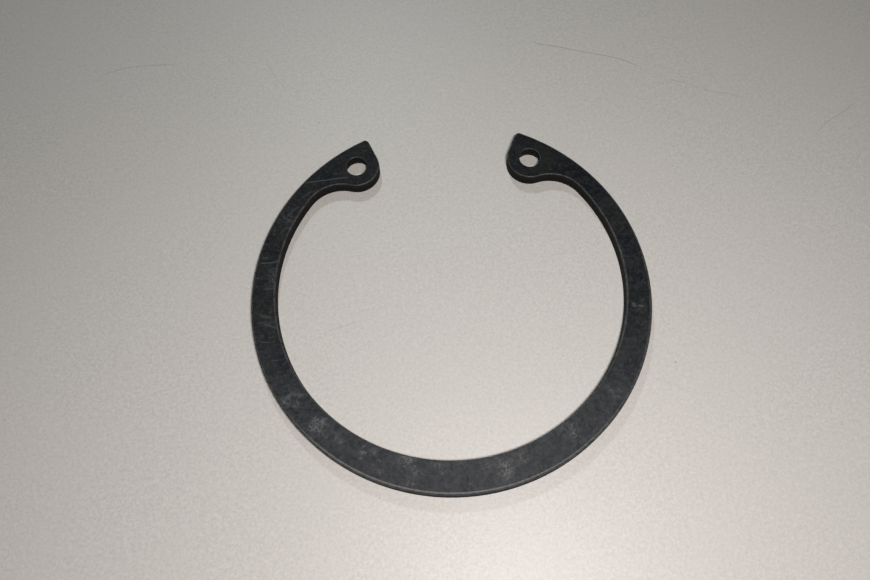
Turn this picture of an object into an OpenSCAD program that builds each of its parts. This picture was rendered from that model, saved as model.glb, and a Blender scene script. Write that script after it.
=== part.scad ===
// Internal retaining ring for a 42 mm bore, one flat piece of spring steel in its free state.
// The outer edge is one circle. The inner edge is an eccentric arc, so the beam is widest opposite
// the gap and thins towards the two lugs, which bends it evenly when the ring is squeezed.
// Frame: origin at the centre of the outer circle on the lower face, gap towards +Y, +Z up.

/* [Ring] */
// Free diameter of the outer edge, before the ring is squeezed into its bore
ring_d = 45.5; // [44:0.1:47]
// Thickness of the strip the ring is stamped from
thickness = 1.7; // [1.5:0.05:2.5]
// Radial width of the beam opposite the gap, where it is widest
beam_w = 3.6; // [3.2:0.1:4.2]
// Radial width the beam would thin to at the gap, if the lugs weren't there
beam_end_w = 1.9; // [1.5:0.1:2.6]

/* [Lugs] */
// Radial height of a lug, from the outer circle to its innermost point
lug_h = 5.6; // [5.2:0.1:5.9]
// Radius of the round end of a lug
lug_round_r = 2.75; // [2.4:0.05:3]
// Radius of the hollow curve between a lug and the beam
lug_fillet_r = 4.4; // [3.6:0.1:5.2]
// Angle from the middle of the gap to the middle of a lug
lug_angle = 32.2; // [30:0.1:35]
// Angle from the middle of the gap to the corner between a lug's end face and the outer circle
tip_angle = 24.2; // [22:0.1:26]
// Radius that rounds that corner
tip_round_r = 0.65; // [0.45:0.05:1]

/* [Plier holes] */
// Diameter of the hole in each lug that takes a plier tip
hole_d = 2.5; // [2.3:0.05:2.9]
// How far the wall of a hole opens out by the lower face, where the punch broke the steel through
hole_flare = 0.2; // [0.1:0.05:0.4]
// Height of that part of the wall
flare_h = 0.9; // [0.6:0.05:1.2]

/* [Edges] */
// Radius rolled onto the upper edge of the outer circle by the stamping
rim_roll = 0.35; // [0.25:0.01:0.45]
// Radius left on the upper edge of the inner outline and lugs
edge_break = 0.18; // [0.1:0.01:0.24]
// Radius left on the lower edge of the outer circle
under_rim_break = 0.15; // [0.12:0.01:0.25]
// Radius left on the lower edge of the inner outline and lugs
under_edge_break = 0.1; // [0.05:0.01:0.11]
// Radius on the upper edge of a plier hole
hole_break = 0.12; // [0.05:0.01:0.2]

/* [Hidden] */
$fn = 160;
steel = [0.19, 0.20, 0.21];
// Quarter turn and half turn, in degrees
quarter = 90;
half_turn = 180;
// A cut runs this far past the face it opens
spill = 0.3;
// The tip's round laps past the outer circle by this little, so that the two cross and don't just touch
lap = 0.0001;
// Reach that is past the whole ring from any point of it
far = 2 * ring_d;

ring_r = ring_d / 2;
// The inner arc's centre is shifted towards the gap, which thins the beam on that side
arc_r = ring_r - (beam_w + beam_end_w) / 2;
arc_shift = (beam_w - beam_end_w) / 2;

// Middle of the right-hand lug's round end, on which its plier hole sits
lug_r = ring_r - lug_h + lug_round_r;
lug_at = lug_r * [sin(lug_angle), cos(lug_angle)];

// The hollow curve touches the inner arc from within and the lug's round end from outside, so its
// centre is the corner of a triangle whose three sides are known
arc_to_lug = lug_at - [0, arc_shift];
arc_to_hollow_l = arc_r - lug_fillet_r;
hollow_to_lug_l = lug_fillet_r + lug_round_r;
hollow_turn = acos(
    (arc_to_lug * arc_to_lug + pow(arc_to_hollow_l, 2) - pow(hollow_to_lug_l, 2))
    / (2 * norm(arc_to_lug) * arc_to_hollow_l)
);
// Direction from the inner arc's centre to the hollow curve's, and from that one to the lug's
hollow_dir = atan2(arc_to_lug[1], arc_to_lug[0]) - hollow_turn;
hollow_at = [0, arc_shift] + arc_to_hollow_l * [cos(hollow_dir), sin(hollow_dir)];
lug_dir = atan2(lug_at[1] - hollow_at[1], lug_at[0] - hollow_at[0]);

// The end face is the tangent from the lug's round end to the corner on the outer circle
corner_at = ring_r * [sin(tip_angle), cos(tip_angle)];
lug_to_corner = corner_at - lug_at;
face_dir = atan2(lug_to_corner[1], lug_to_corner[0]) + acos(lug_round_r / norm(lug_to_corner));
face_out = [cos(face_dir), sin(face_dir)];
face_along = [sin(face_dir), -cos(face_dir)];
// The tip's round touches the end face and the outer circle, which fixes how far along it sits
tip_across = lug_at * face_out + lug_round_r - tip_round_r;
tip_run = sqrt(pow(ring_r - tip_round_r + lap, 2) - pow(tip_across, 2)) - lug_at * face_along;
tip_at = lug_at + (lug_round_r - tip_round_r) * face_out + tip_run * face_along;
tip_dir = atan2(tip_at[1], tip_at[0]);
// The beam's own outline stops half way along the root of the lug, inside the web
beam_end_dir = (hollow_dir + quarter - lug_angle) / 2;

function polar(r, a) = r * [cos(a), sin(a)];

// The half plane on the left of the X axis, as seen along it
module left_side() {
    translate([-far, 0]) square([2 * far, far]);
}

// The half plane on the right of the X axis
module right_side() {
    translate([-far, -far]) square([2 * far, far]);
}

// Frame at the inner arc's centre
module at_arc() {
    translate([0, arc_shift]) children();
}

// Frame at the hollow curve's centre, its X axis through the point where the inner arc ends
module at_hollow() {
    at_arc() rotate(hollow_dir) translate([arc_to_hollow_l, 0]) children();
}

// Frame at the lug's centre, its X axis away from the hollow curve's centre
module at_lug() {
    at_hollow() rotate(lug_dir - hollow_dir) translate([hollow_to_lug_l, 0]) children();
}

// Frame at the lug's centre, its X axis square to the end face and out of it
module at_face() {
    at_lug() rotate(face_dir - lug_dir) children();
}

// Frame at the centre of the tip's round, with the same axes as the end face's
module at_tip() {
    at_face() translate([lug_round_r - tip_round_r, -tip_run]) children();
}

// The sector round the hollow curve's centre between the points where the curve ends
module hollow_sector() {
    intersection() {
        left_side();
        rotate(lug_dir - hollow_dir) right_side();
    }
}

// The steel between the hollow curve, the beam and the lug
module root() {
    at_hollow() difference() {
        intersection() {
            circle(hollow_to_lug_l);
            hollow_sector();
        }
        circle(lug_fillet_r);
    }
}

// The steel between the lug's round end, the tip and the beam, as far as the outer circle
module web() {
    face_mid = lug_at + (lug_round_r - tip_round_r) * face_out + tip_run / 2 * face_along;
    beam_mid = [0, arc_shift] + polar(arc_r + beam_end_w / 2, hollow_dir);
    polygon([
        lug_at,
        face_mid,
        tip_at,
        tip_at + polar(far, tip_dir),
        polar(2 * far, (tip_dir + hollow_dir) / 2),
        beam_mid + polar(far, hollow_dir),
        beam_mid
    ]);
}

// The straight end face, from the lug's round end to the tip's
module face_block() {
    at_face() polygon([
        [0, 0],
        [lug_round_r - tip_round_r, -tip_run],
        [lug_round_r, -tip_run],
        [lug_round_r, 0]
    ]);
}

// One lug with its root, right of the gap
module lug_outline() {
    intersection() {
        circle(ring_r);
        union() {
            at_lug() circle(lug_round_r);
            face_block();
            at_tip() circle(tip_round_r);
            web();
            root();
        }
    }
}

// The curved beam, open towards the gap
module beam_outline() {
    difference() {
        circle(ring_r);
        at_arc() circle(arc_r);
        polygon([
            [0, 0],
            polar(far, beam_end_dir),
            [0, 2 * far],
            polar(far, half_turn - beam_end_dir)
        ]);
    }
}

module ring_outline() {
    beam_outline();
    lug_outline();
    mirror([1, 0]) lug_outline();
}

// Profile that rounds the upper edge of a wall at x = r, with the steel on the side of smaller x
module outer_edge_cut(r, size) {
    translate([r - size, thickness - size]) difference() {
        square(size + spill);
        circle(size);
    }
}

// The same with the steel on the side of larger x
module inner_edge_cut(r, size) {
    translate([r + size, thickness - size]) mirror([1, 0]) difference() {
        square(size + spill);
        circle(size);
    }
}

// The next modules are what an edge radius takes off the upper side. They abut where the curves of
// the outline meet, on planes through those points, and each is a separate cut in the steel.

module rim_cut(size) {
    rotate_extrude() outer_edge_cut(ring_r, size);
}

module arc_cut(size) {
    at_arc() difference() {
        rotate_extrude() inner_edge_cut(arc_r, size);
        linear_extrude(2 * thickness) intersection() {
            rotate(hollow_dir) left_side();
            mirror([1, 0]) rotate(hollow_dir) left_side();
        }
    }
}

module hollow_cut(size) {
    at_hollow() intersection() {
        rotate_extrude() inner_edge_cut(lug_fillet_r, size);
        linear_extrude(2 * thickness) hollow_sector();
    }
}

module round_end_cut(size) {
    at_lug() intersection() {
        rotate_extrude() outer_edge_cut(lug_round_r, size);
        linear_extrude(2 * thickness) intersection() {
            left_side();
            rotate(face_dir - lug_dir) left_side();
        }
    }
}

module end_face_cut(size) {
    at_face() rotate([quarter, 0, 0]) linear_extrude(tip_run) outer_edge_cut(lug_round_r, size);
}

module tip_cut(size) {
    at_tip() intersection() {
        rotate_extrude() outer_edge_cut(tip_round_r, size);
        linear_extrude(2 * thickness) intersection() {
            right_side();
            rotate(tip_dir - face_dir) left_side();
        }
    }
}

module hole_cut(size) {
    at_lug() rotate_extrude() inner_edge_cut(hole_d / 2, size);
}

// Straight above and flared below
module plier_hole() {
    at_lug() rotate_extrude() polygon([
        [0, -spill],
        [hole_d / 2 + hole_flare * (1 + spill / flare_h), -spill],
        [hole_d / 2, flare_h],
        [hole_d / 2, thickness + spill],
        [0, thickness + spill]
    ]);
}

// What is right of the gap is also left of it
module left_lug() {
    mirror([1, 0, 0]) children();
}

// What is on the upper side is also on the lower
module underneath() {
    translate([0, 0, thickness]) mirror([0, 0, 1]) children();
}

// The stamped strip with its holes and its rolled outer edge
module blank() {
    difference() {
        linear_extrude(thickness) ring_outline();
        plier_hole();
        left_lug() plier_hole();
        rim_cut(rim_roll);
        underneath() rim_cut(under_rim_break);
    }
}

module retaining_ring() {
    color(steel) difference() {
        blank();
        arc_cut(edge_break);
        hollow_cut(edge_break);
        round_end_cut(edge_break);
        end_face_cut(edge_break);
        tip_cut(edge_break);
        hole_cut(hole_break);
        left_lug() hollow_cut(edge_break);
        left_lug() round_end_cut(edge_break);
        left_lug() end_face_cut(edge_break);
        left_lug() tip_cut(edge_break);
        left_lug() hole_cut(hole_break);
        underneath() arc_cut(under_edge_break);
        underneath() hollow_cut(under_edge_break);
        underneath() round_end_cut(under_edge_break);
        underneath() end_face_cut(under_edge_break);
        underneath() tip_cut(under_edge_break);
        underneath() left_lug() hollow_cut(under_edge_break);
        underneath() left_lug() round_end_cut(under_edge_break);
        underneath() left_lug() end_face_cut(under_edge_break);
        underneath() left_lug() tip_cut(under_edge_break);
    }
}

retaining_ring();
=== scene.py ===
import math

import bpy
from mathutils import Matrix, Vector


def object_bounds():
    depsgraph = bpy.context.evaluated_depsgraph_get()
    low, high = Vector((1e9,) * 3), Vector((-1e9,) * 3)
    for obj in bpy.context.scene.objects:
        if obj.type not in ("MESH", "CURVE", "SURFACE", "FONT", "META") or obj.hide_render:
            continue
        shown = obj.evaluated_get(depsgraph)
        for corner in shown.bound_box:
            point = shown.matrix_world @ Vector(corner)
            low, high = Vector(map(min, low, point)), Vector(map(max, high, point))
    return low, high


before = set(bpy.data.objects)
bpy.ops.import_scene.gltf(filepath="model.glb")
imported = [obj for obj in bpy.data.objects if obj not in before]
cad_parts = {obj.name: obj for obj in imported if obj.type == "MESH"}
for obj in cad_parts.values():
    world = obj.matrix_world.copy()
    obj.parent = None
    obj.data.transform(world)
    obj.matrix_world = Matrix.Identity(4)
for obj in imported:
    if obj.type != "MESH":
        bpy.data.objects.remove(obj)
cad_lo, cad_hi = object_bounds()

MM = 0.001
PER_MM = 1000.0
# The value that a noise varies about
NOISE_MIDDLE = 0.5

# Camera, solved from the ring's circles, lugs and plier holes in the photograph. Lengths are in
# millimetres and angles in degrees.
LENS_MM = 30.02
SENSOR_MM = 36.0
CAM_DISTANCE = 84.303
CAM_ELEVATION = 68.097
CAM_ROLL = -2.890
CAM_YAW = -0.088
CAM_TARGET = (-1.7655, 0.6886)
CAM_CLIP_END_M = 10.0

# What the camera sees beyond the floor, and how strongly the same sky lights the ring
BACKGROUND = (1.0, 0.965, 0.94, 1.0)
BACKGROUND_STRENGTH = 0.75
SKY_LIGHT_STRENGTH = 0.02

# Distances from the ring's centre over which the floor runs into the background, in millimetres
FLOOR_FADE = (76.0, 140.0)
FLOOR_HALF_M = 0.7

# The ring's own sizes, in millimetres
THICKNESS = (cad_hi[2] - cad_lo[2]) * PER_MM
RING_R = (cad_hi[0] - cad_lo[0]) / 2 * PER_MM

# Where each look of the steel starts and where it is full. How level the surface lies is 1 on the
# flat faces and 0 on the walls, and places are in millimetres.
FACE_LEVEL = (0.93, 0.995)
WALL_LEVEL = (0.55, 0.2)
TOP_Z = (0.6 * THICKNESS, 0.75 * THICKNESS)
# Painted sheen with the dust: the upper face is lighter towards the camera and fades out before the
# lugs
THICK_DUST_AND_SHEEN_Y = (3.0, -19.0)
THIN_DUST_AND_SHEEN_Y = (15.0, 8.0)
SCUFFED_X = (-13.0, -18.0)
# A painted highlight, over some rubbing, along the stretch of the rim towards the camera
RIM_HIGHLIGHT_AND_RUB_Y = (-12.0, -19.0)
RIM_HIGHLIGHT_AND_RUB_LEVEL = (0.86, 0.95)
RIM_HIGHLIGHT_AND_RUB_R = (RING_R - 0.40, RING_R - 0.33)

# Colours of the floor
LAMINATE_DARK = (0.57, 0.545, 0.524, 1.0)
LAMINATE_LIGHT = (0.705, 0.675, 0.644, 1.0)
LAMINATE_CLOUD = (0.66, 0.62, 0.605, 1.0)
LAMINATE_MARK = (0.20, 0.19, 0.185, 1.0)

# Colours of the steel, from its phosphate to what lies on it or was rubbed through it; the dust,
# edge and rim colours also carry painted sheen and highlights
BLUE_BLACK = (0.0008, 0.0022, 0.0064, 1.0)
GREEN_BLACK = (0.0085, 0.0094, 0.0072, 1.0)
BLOTCH = (0.0165, 0.0180, 0.0195, 1.0)
MOTTLE = (0.032, 0.0335, 0.037, 1.0)
CRYSTAL = (0.046, 0.048, 0.052, 1.0)
# Dust, and the painted sheen that the same colour stands for
DUST_AND_SHEEN = (0.0485, 0.0515, 0.059, 1.0)
SMUDGE = (0.118, 0.121, 0.126, 1.0)
SCRATCH = (0.105, 0.112, 0.118, 1.0)
BROKEN_DARK = (0.0035, 0.003, 0.0025, 1.0)
BROKEN_LIGHT = (0.0115, 0.0088, 0.0072, 1.0)
BURNISHED_DARK = (0.007, 0.007, 0.0068, 1.0)
BURNISHED_LIGHT = (0.017, 0.0155, 0.0142, 1.0)
# Worn edges, also a painted highlight along them
RUBBED_EDGE_AND_HIGHLIGHT = (0.098, 0.100, 0.103, 1.0)
# Rubbed rim, also a painted highlight
RIM_HIGHLIGHT_AND_RUB = (0.165, 0.163, 0.160, 1.0)

# Pale smudges on the upper face: x, y, radius, strength
SMUDGES = (
    (-17.7, -11.9, 1.3, 0.8),
    (-14.8, -14.9, 1.3, 0.9),
    (-12.8, -16.3, 0.9, 0.8),
    (-10.1, -17.8, 0.8, 1.0),
    (-8.4, -18.1, 0.6, 0.7),
    (-8.9, -19.7, 0.9, 0.6),
    (-5.5, -19.0, 1.0, 0.9),
    (-4.5, -20.1, 0.8, 0.7),
    (-5.3, -21.1, 0.6, 0.5),
    (-2.0, -19.6, 0.9, 0.5),
    (-0.1, -18.9, 1.0, 0.4),
    (2.5, -20.0, 1.2, 0.5),
    (4.6, -20.0, 1.6, 0.9),
    (6.6, -19.0, 1.1, 0.7),
    (11.7, -16.8, 1.4, 0.7),
    (17.0, -12.7, 1.1, 0.4),
    (20.7, -2.8, 0.7, 0.6),
    (-20.8, -3.0, 1.1, 0.3),
    (-20.4, 2.6, 1.2, 0.5),
    (-18.6, 10.0, 1.3, 0.5),
)

# Hairline scratches in the floor: middle x and y, angle in degrees, length, strength
FLOOR_SCRATCHES = (
    (19.0, 33.5, -24.0, 17.0, 0.45),
    (34.0, 27.5, -17.0, 14.0, 0.25),
    (-39.0, 34.0, 12.0, 9.0, 0.40),
    (-22.5, 32.0, -62.0, 6.0, 0.25),
    (50.0, 21.0, 34.0, 8.0, 0.25),
    (-13.0, -3.0, 20.0, 5.0, 0.18),
)

# Scratches in the ring's upper face, in the same terms
STEEL_SCRATCHES = (
    (-14.4, 15.05, 5.0, 6.4, 0.50),
    (-16.6, 13.2, 38.0, 1.5, 0.35),
    (-18.3, 11.0, 44.0, 1.8, 0.35),
    (-19.3, 8.6, 56.0, 1.3, 0.30),
    (-20.9, 4.4, 3.0, 2.2, 0.50),
    (-19.9, 3.6, -6.0, 1.3, 0.35),
    (-20.6, 1.2, 8.0, 1.7, 0.30),
    (-21.0, -2.2, -14.0, 1.5, 0.35),
    (-20.3, -3.4, -20.0, 1.7, 0.35),
    (-20.8, -5.2, -8.0, 1.4, 0.30),
)


class Nodes:
    """Short calls that add nodes to a material and link them."""

    def __init__(self, material):
        material.use_nodes = True
        self.tree = material.node_tree
        self.shader = self.tree.nodes["Principled BSDF"]
        self.surface = self.tree.nodes["Material Output"].inputs["Surface"]
        place = self.new("ShaderNodeTexCoord")
        # Place on the object in millimetres, and the way its surface faces
        self.mm = self.vec("MULTIPLY", place.outputs["Object"], (PER_MM, PER_MM, PER_MM))
        self.normal = place.outputs["Normal"]

    def new(self, kind, **values):
        node = self.tree.nodes.new(kind)
        for key, value in values.items():
            setattr(node, key, value)
        return node

    def put(self, socket, value):
        if isinstance(value, bpy.types.NodeSocket):
            self.tree.links.new(value, socket)
        else:
            socket.default_value = value

    def math(self, operation, *values, clamp=False):
        node = self.new("ShaderNodeMath", operation=operation, use_clamp=clamp)
        for socket, value in zip(node.inputs, values):
            self.put(socket, value)
        return node.outputs[0]

    def times(self, product, *factors):
        for factor in factors:
            product = self.math("MULTIPLY", product, factor)
        return product

    def vec_node(self, operation, values):
        node = self.new("ShaderNodeVectorMath", operation=operation)
        for socket, value in zip(node.inputs, values):
            self.put(socket, value)
        return node

    def vec(self, operation, *values):
        return self.vec_node(operation, values).outputs["Vector"]

    def measure(self, operation, *values):
        """Vector maths that gives a number, such as a length."""
        return self.vec_node(operation, values).outputs["Value"]

    def split(self, vector):
        node = self.new("ShaderNodeSeparateXYZ")
        self.put(node.inputs[0], vector)
        return tuple(node.outputs)

    def join(self, x, y, z):
        node = self.new("ShaderNodeCombineXYZ")
        for socket, value in zip(node.inputs, (x, y, z)):
            self.put(socket, value)
        return node.outputs[0]

    def noise_node(self, vector, scale, detail, rough, distortion=0.0):
        node = self.new("ShaderNodeTexNoise")
        self.put(node.inputs["Vector"], vector)
        self.put(node.inputs["Scale"], scale)
        self.put(node.inputs["Detail"], detail)
        self.put(node.inputs["Roughness"], rough)
        self.put(node.inputs["Distortion"], distortion)
        return node

    def noise(self, vector, **settings):
        return self.noise_node(vector, **settings).outputs[0]

    def fade(self, value, start, end, low=0.0, high=1.0):
        """From low at start to high at end, levelling out at both."""
        node = self.new("ShaderNodeMapRange", interpolation_type="SMOOTHSTEP")
        for socket, setting in zip(node.inputs[:5], (value, start, end, low, high)):
            self.put(socket, setting)
        return node.outputs[0]

    def mix(self, factor, a, b):
        node = self.new("ShaderNodeMix", data_type="RGBA")
        self.put(node.inputs["Factor"], factor)
        self.put(node.inputs["A"], a)
        self.put(node.inputs["B"], b)
        return node.outputs["Result"]

    def bump(self, height, distance, strength):
        node = self.new("ShaderNodeBump")
        self.put(node.inputs["Height"], height)
        self.put(node.inputs["Distance"], distance)
        self.put(node.inputs["Strength"], strength)
        self.put(self.shader.inputs["Normal"], node.outputs[0])


def add_object(name, data):
    thing = bpy.data.objects.new(name, data)
    bpy.context.scene.collection.objects.link(thing)
    return thing


def place_camera():
    elevation = math.radians(CAM_ELEVATION)
    roll = math.radians(CAM_ROLL)
    ahead = Vector((0, math.cos(elevation), -math.sin(elevation)))
    right = Vector((1, 0, 0))
    up = right.cross(ahead)
    x = right * math.cos(roll) + up * math.sin(roll)
    y = -right * math.sin(roll) + up * math.cos(roll)
    at = Vector((*CAM_TARGET, 0)) * MM - ahead * CAM_DISTANCE * MM
    turn = Matrix((
        (x.x, y.x, -ahead.x, at.x),
        (x.y, y.y, -ahead.y, at.y),
        (x.z, y.z, -ahead.z, at.z),
        (0, 0, 0, 1),
    ))
    data = bpy.data.cameras.new("camera")
    data.lens = LENS_MM
    data.sensor_width = SENSOR_MM
    data.clip_start = MM
    data.clip_end = CAM_CLIP_END_M
    camera = add_object("camera", data)
    camera.matrix_world = Matrix.Rotation(math.radians(-CAM_YAW), 4, "Z") @ turn
    bpy.context.scene.camera = camera


def lamp(name, at, to, size, power, colour):
    """A round lamp, in metres and watts."""
    data = bpy.data.lights.new(name, "AREA")
    data.shape = "DISK"
    data.size = size
    data.energy = power
    data.color = colour
    light = add_object(name, data)
    light.location = at
    light.rotation_mode = "QUATERNION"
    light.rotation_quaternion = (Vector(to) - Vector(at)).to_track_quat("-Z", "Y")
    light.visible_camera = False


def light_scene():
    # Beside the lens: brightest below the camera and fading towards the far corners
    lamp(
        "lens_side",
        at=(0.012, -0.039, 0.105),
        to=(0, -0.045, 0),
        size=0.020,
        power=0.109,
        colour=(1.0, 0.963, 0.932),
    )
    # Beyond the gap: short crisp shadows on the near side of the lugs and of the rim
    lamp(
        "far_side",
        at=(-0.030, 0.165, 0.185),
        to=(0, 0, 0),
        size=0.016,
        power=0.098,
        colour=(0.88, 1.0, 1.0),
    )
    world = bpy.data.worlds.new("studio")
    world.use_nodes = True
    bpy.context.scene.world = world
    tree = world.node_tree
    seen = tree.nodes.new("ShaderNodeLightPath").outputs["Is Camera Ray"]
    strength = tree.nodes.new("ShaderNodeMapRange")
    tree.links.new(seen, strength.inputs["Value"])
    strength.inputs["To Min"].default_value = SKY_LIGHT_STRENGTH
    strength.inputs["To Max"].default_value = BACKGROUND_STRENGTH
    sky = tree.nodes["Background"]
    sky.inputs["Color"].default_value = BACKGROUND
    tree.links.new(strength.outputs[0], sky.inputs["Strength"])


def strongest(n, masks):
    total = masks[0]
    for mask in masks[1:]:
        total = n.math("MAXIMUM", total, mask)
    return total


def wander(n, flat, drift, reach):
    """Places shifted by up to about half of reach, so that what is drawn on them wanders."""
    shift = n.vec("SUBTRACT", drift.outputs["Color"], (NOISE_MIDDLE, NOISE_MIDDLE, NOISE_MIDDLE))
    return n.vec("ADD", flat, n.vec("MULTIPLY", shift, (reach, reach, 0.0)))


def hairlines(n, place, rows, width):
    """Thin lines, fading out at both ends, at the places that rows gives."""
    core = width * 0.3
    lines = []
    for x, y, angle, length, strength in rows:
        along = (math.cos(math.radians(angle)), math.sin(math.radians(angle)), 0)
        across = (-along[1], along[0], 0)
        offset = n.vec("SUBTRACT", place, (x, y, 0))
        reach = n.math("ABSOLUTE", n.measure("DOT_PRODUCT", offset, along))
        side = n.math("ABSOLUTE", n.measure("DOT_PRODUCT", offset, across))
        line = n.fade(side, width, core, high=strength)
        lines.append(n.times(line, n.fade(reach, length / 2, length / 3)))
    return strongest(n, lines)


def smudges(n, place):
    """Round patches, fading from the middle outwards."""
    spread = 1.15
    patches = []
    for x, y, radius, strength in SMUDGES:
        away = n.measure("DISTANCE", place, (x, y, 0))
        patches.append(n.fade(away, radius * spread, 0.0, high=strength))
    return strongest(n, patches)


def floor_material():
    material = bpy.data.materials.new("pale_laminate")
    n = Nodes(material)
    x, y = n.split(n.mm)[:2]
    flat = n.join(x, y, 0.0)

    # Fine grain, weaker in some patches, over broad clouds
    grain = n.noise(n.mm, scale=3.2, detail=4.0, rough=0.7, distortion=0.8)
    patchy = n.fade(n.noise(n.mm, scale=0.11, detail=3.0, rough=0.6), 0.35, 0.65, low=0.75)
    grain = n.times(n.math("SUBTRACT", grain, NOISE_MIDDLE), patchy)
    grain = n.math("ADD", NOISE_MIDDLE, grain)
    cloud = n.noise(n.mm, scale=0.045, detail=2.0, rough=0.5)
    colour = n.mix(n.fade(grain, 0.32, 0.68), LAMINATE_DARK, LAMINATE_LIGHT)
    colour = n.mix(n.fade(cloud, 0.4, 0.6, high=0.25), colour, LAMINATE_CLOUD)

    # Stray specks and hairline scratches
    speck = n.fade(n.noise(flat, scale=0.8, detail=1.0, rough=0.4), 0.795, 0.83, high=0.4)
    drift = n.noise_node(flat, scale=0.05, detail=2.0, rough=0.5)
    scratch = hairlines(n, wander(n, flat, drift, reach=9.0), FLOOR_SCRATCHES, width=0.09)
    colour = n.mix(strongest(n, (scratch, speck)), colour, LAMINATE_MARK)

    n.put(n.shader.inputs["Base Color"], colour)
    n.put(n.shader.inputs["Roughness"], 0.48)
    n.put(n.shader.inputs["Specular IOR Level"], 0.6)
    pores = n.noise(n.mm, scale=2.4, detail=2.0, rough=0.5)
    n.bump(pores, distance=0.02 * MM, strength=0.6)

    # Out of the main view, the camera sees the floor run into the pale background
    glow = n.new("ShaderNodeEmission")
    n.put(glow.inputs["Color"], BACKGROUND)
    n.put(glow.inputs["Strength"], BACKGROUND_STRENGTH)
    far = n.fade(n.measure("LENGTH", flat), *FLOOR_FADE)
    seen = n.new("ShaderNodeLightPath").outputs["Is Camera Ray"]
    blend = n.new("ShaderNodeMixShader")
    n.put(blend.inputs[0], n.times(far, seen))
    n.put(blend.inputs[1], n.shader.outputs[0])
    n.put(blend.inputs[2], glow.outputs[0])
    n.put(n.surface, blend.outputs[0])
    return material


def make_floor():
    half = FLOOR_HALF_M
    mesh = bpy.data.meshes.new("floor")
    corners = [(-half, -half, 0), (half, -half, 0), (half, half, 0), (-half, half, 0)]
    mesh.from_pydata(corners, [], [(0, 1, 2, 3)])
    mesh.materials.append(floor_material())
    floor = add_object("floor", mesh)


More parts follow.
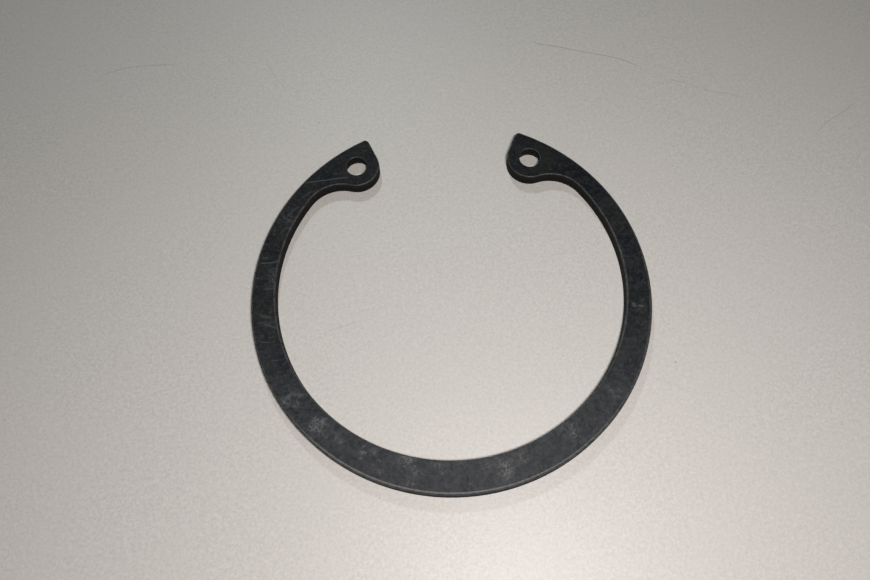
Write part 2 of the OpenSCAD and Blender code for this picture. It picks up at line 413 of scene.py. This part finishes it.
class Steel(Nodes):
    """The ring's phosphated steel, one layer to a method."""

    def __init__(self, material):
        super().__init__(material)
        self.x, self.y, self.z = self.split(self.mm)
        self.flat = self.join(self.x, self.y, 0.0)
        # How level the surface lies, and from that its kind: flat face, wall or rounded edge
        self.level = self.math("ABSOLUTE", self.split(self.normal)[2])
        self.face = self.fade(self.level, *FACE_LEVEL)
        self.wall = self.fade(self.level, *WALL_LEVEL)
        neither = self.math("ADD", self.face, self.wall, clamp=True)
        self.edge = self.math("SUBTRACT", 1.0, neither, clamp=True)
        self.top = self.fade(self.z, *TOP_Z)
        self.blotch = self.noise(
            self.moved(31.0, 7.0, 3.0), scale=0.9, detail=4.0, rough=0.68, distortion=0.5
        )
        self.mottle = self.noise(
            self.moved(3.0, 41.0, 5.0), scale=2.1, detail=4.0, rough=0.72, distortion=0.4
        )

    def moved(self, *offset):
        """Places moved by an offset, so that one noise doesn't repeat another."""
        return self.vec("ADD", self.mm, offset)

    def phosphate(self):
        """Clouded from blue-black to a faint green-grey, with a fine crystal grain."""
        cloud = self.noise(self.mm, scale=0.32, detail=4.0, rough=0.62, distortion=0.6)
        grain = self.noise(self.mm, scale=5.5, detail=3.0, rough=0.7)
        colour = self.mix(self.fade(cloud, 0.38, 0.62), BLUE_BLACK, GREEN_BLACK)
        colour = self.mix(self.fade(self.blotch, 0.45, 0.70, high=0.8), colour, BLOTCH)
        colour = self.mix(self.fade(self.mottle, 0.48, 0.72, high=0.75), colour, MOTTLE)
        return self.mix(self.fade(grain, 0.52, 0.78, high=0.6), colour, CRYSTAL)

    def dust_and_sheen(self):
        """Dust and dried oil, with painted sheen: thickest opposite the gap on the side towards the
        camera, thin on the arms, none on the lugs.
        """
        thick = self.fade(self.y, *THICK_DUST_AND_SHEEN_Y)
        thin = self.fade(self.y, *THIN_DUST_AND_SHEEN_Y, high=0.16)
        mottled = self.fade(self.mottle, 0.30, 0.66, low=0.35)
        blotched = self.fade(self.blotch, 0.30, 0.62, low=0.55)
        return self.times(strongest(self, (thick, thin)), mottled, blotched)

    def smudge(self):
        """Smudges with ragged borders, as handling leaves on the phosphate, and stray flecks."""
        drawn_out = self.vec("MULTIPLY", self.mm, (0.5, 0.9, 0.9))
        drift = self.noise_node(drawn_out, scale=0.9, detail=3.0, rough=0.6)
        patch = smudges(self, wander(self, self.flat, drift, reach=3.2))
        broken = self.noise(self.mm, scale=1.9, detail=4.0, rough=0.7, distortion=1.4)
        patch = self.times(patch, self.fade(broken, 0.42, 0.64, low=0.05))
        patch = self.math("MULTIPLY", patch, 1.4, clamp=True)
        fleck = self.noise(self.moved(5.0, 17.0, 9.0), scale=3.3, detail=2.0, rough=0.5)
        fleck = self.fade(fleck, 0.68, 0.77, high=0.5)
        return self.times(strongest(self, (patch, fleck)), self.face)

    def scratch(self):
        """Scratches and fine scuffs on the side left of the gap."""
        left = self.fade(self.x, *SCUFFED_X)
        drawn_out = self.vec("MULTIPLY", self.flat, (1.1, 4.6, 0.0))
        scuff = self.noise(drawn_out, scale=1.0, detail=3.0, rough=0.65, distortion=1.0)
        scuff = self.fade(scuff, 0.56, 0.76, high=0.5)
        drift = self.noise_node(self.flat, scale=0.4, detail=2.0, rough=0.5)
        place = wander(self, self.flat, drift, reach=0.5)
        line = hairlines(self, place, STEEL_SCRATCHES, width=0.11)
        return self.times(strongest(self, (self.times(scuff, left), line)), self.face)

    def streak(self):
        """Upright streaks along the walls."""
        along = self.times(self.math("ARCTAN2", self.y, self.x), RING_R)
        upright = self.vec("MULTIPLY", self.join(along, self.z, 0.0), (5.0, 0.35, 0.0))
        return self.noise(upright, scale=1.0, detail=4.0, rough=0.65)

    def sheared(self, streak):
        """A burnished band above and brown-black broken steel below, with a ragged border."""
        # The border's lowest point, its reach from there and its blur, as shares of the thickness
        lowest, reach, blur = 0.42, 0.34, 0.09
        border = self.noise(self.flat, scale=1.1, detail=3.0, rough=0.6)
        border = self.math("ADD", lowest, self.times(border, reach))
        height = self.math("DIVIDE", self.z, THICKNESS)
        below = self.math("SUBTRACT", border, blur)
        above = self.math("ADD", border, blur)
        broken = self.mix(self.fade(streak, 0.3, 0.7), BROKEN_DARK, BROKEN_LIGHT)
        burnished = self.mix(self.fade(streak, 0.3, 0.75), BURNISHED_DARK, BURNISHED_LIGHT)
        return self.mix(self.fade(height, below, above), broken, burnished)

    def edge_rub_and_highlight(self):
        """Upper edges, where the coating has worn thin, lightened further as a painted highlight.
        """
        patchy = self.noise(self.mm, scale=1.7, detail=4.0, rough=0.65)
        return self.times(self.edge, self.fade(patchy, 0.32, 0.66, low=0.3), self.top)

    def rim_highlight_and_rub(self):
        """The near stretch of the rim, rubbed harder and lightened further as a painted highlight.
        """
        outermost = self.fade(self.measure("LENGTH", self.flat), *RIM_HIGHLIGHT_AND_RUB_R)
        rounded = self.fade(self.level, *RIM_HIGHLIGHT_AND_RUB_LEVEL)
        near = self.fade(self.y, *RIM_HIGHLIGHT_AND_RUB_Y, high=0.9)
        patchy = self.fade(self.mottle, 0.3, 0.6, low=0.6)
        return self.times(outermost, rounded, self.top, near, patchy)

    def relief(self, streak, scratch):
        """Heights in millimetres: crystal grain, rolling waves, streaks on the walls, scratches."""
        crystal_h, wave_h, streak_h, scratch_depth = 0.010, 0.02, 0.05, 0.006
        crystals = self.times(self.noise(self.mm, scale=9.0, detail=3.0, rough=0.65), crystal_h)
        waves = self.times(self.noise(self.mm, scale=0.9, detail=2.0, rough=0.5), wave_h)
        relief = self.math("ADD", crystals, waves)
        relief = self.math("ADD", relief, self.times(streak, self.wall, streak_h))
        return self.math("SUBTRACT", relief, self.times(scratch, scratch_depth))


def steel_material():
    material = bpy.data.materials.new("phosphated_steel")
    n = Steel(material)
    scratch = n.scratch()
    streak = n.streak()
    rub_and_highlight = n.edge_rub_and_highlight()

    # Painted sheen: the dust colour also lightens the upper face towards the camera
    colour = n.mix(n.dust_and_sheen(), n.phosphate(), DUST_AND_SHEEN)
    colour = n.mix(n.smudge(), colour, SMUDGE)
    colour = n.mix(scratch, colour, SCRATCH)
    colour = n.mix(n.wall, colour, n.sheared(streak))
    # Painted highlight: the upper edges are lightened along with their wear
    colour = n.mix(n.times(rub_and_highlight, 0.8), colour, RUBBED_EDGE_AND_HIGHLIGHT)
    # Painted highlight along the near rim, over its rubbing
    colour = n.mix(n.rim_highlight_and_rub(), colour, RIM_HIGHLIGHT_AND_RUB)
    n.put(n.shader.inputs["Base Color"], colour)

    # Rougher where it is blotched and on the walls, smoother where it is rubbed
    plain, on_blotches, on_walls, on_rubs = 0.47, 0.16, 0.25, 0.14
    rough = n.math("ADD", plain, n.times(n.blotch, on_blotches))
    rough = n.math("SUBTRACT", rough, n.times(rub_and_highlight, on_rubs))
    rough = n.math("ADD", rough, n.times(n.wall, on_walls), clamp=True)
    n.put(n.shader.inputs["Roughness"], rough)
    n.put(n.shader.inputs["Specular IOR Level"], 0.17)
    n.bump(n.relief(streak, scratch), distance=MM, strength=1.0)
    return material


place_camera()
make_floor()
light_scene()

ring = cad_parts["retaining_ring"]
steel = steel_material()
for slot in ring.material_slots:
    slot.material = steel

bpy.context.scene.view_settings.view_transform = "Standard"
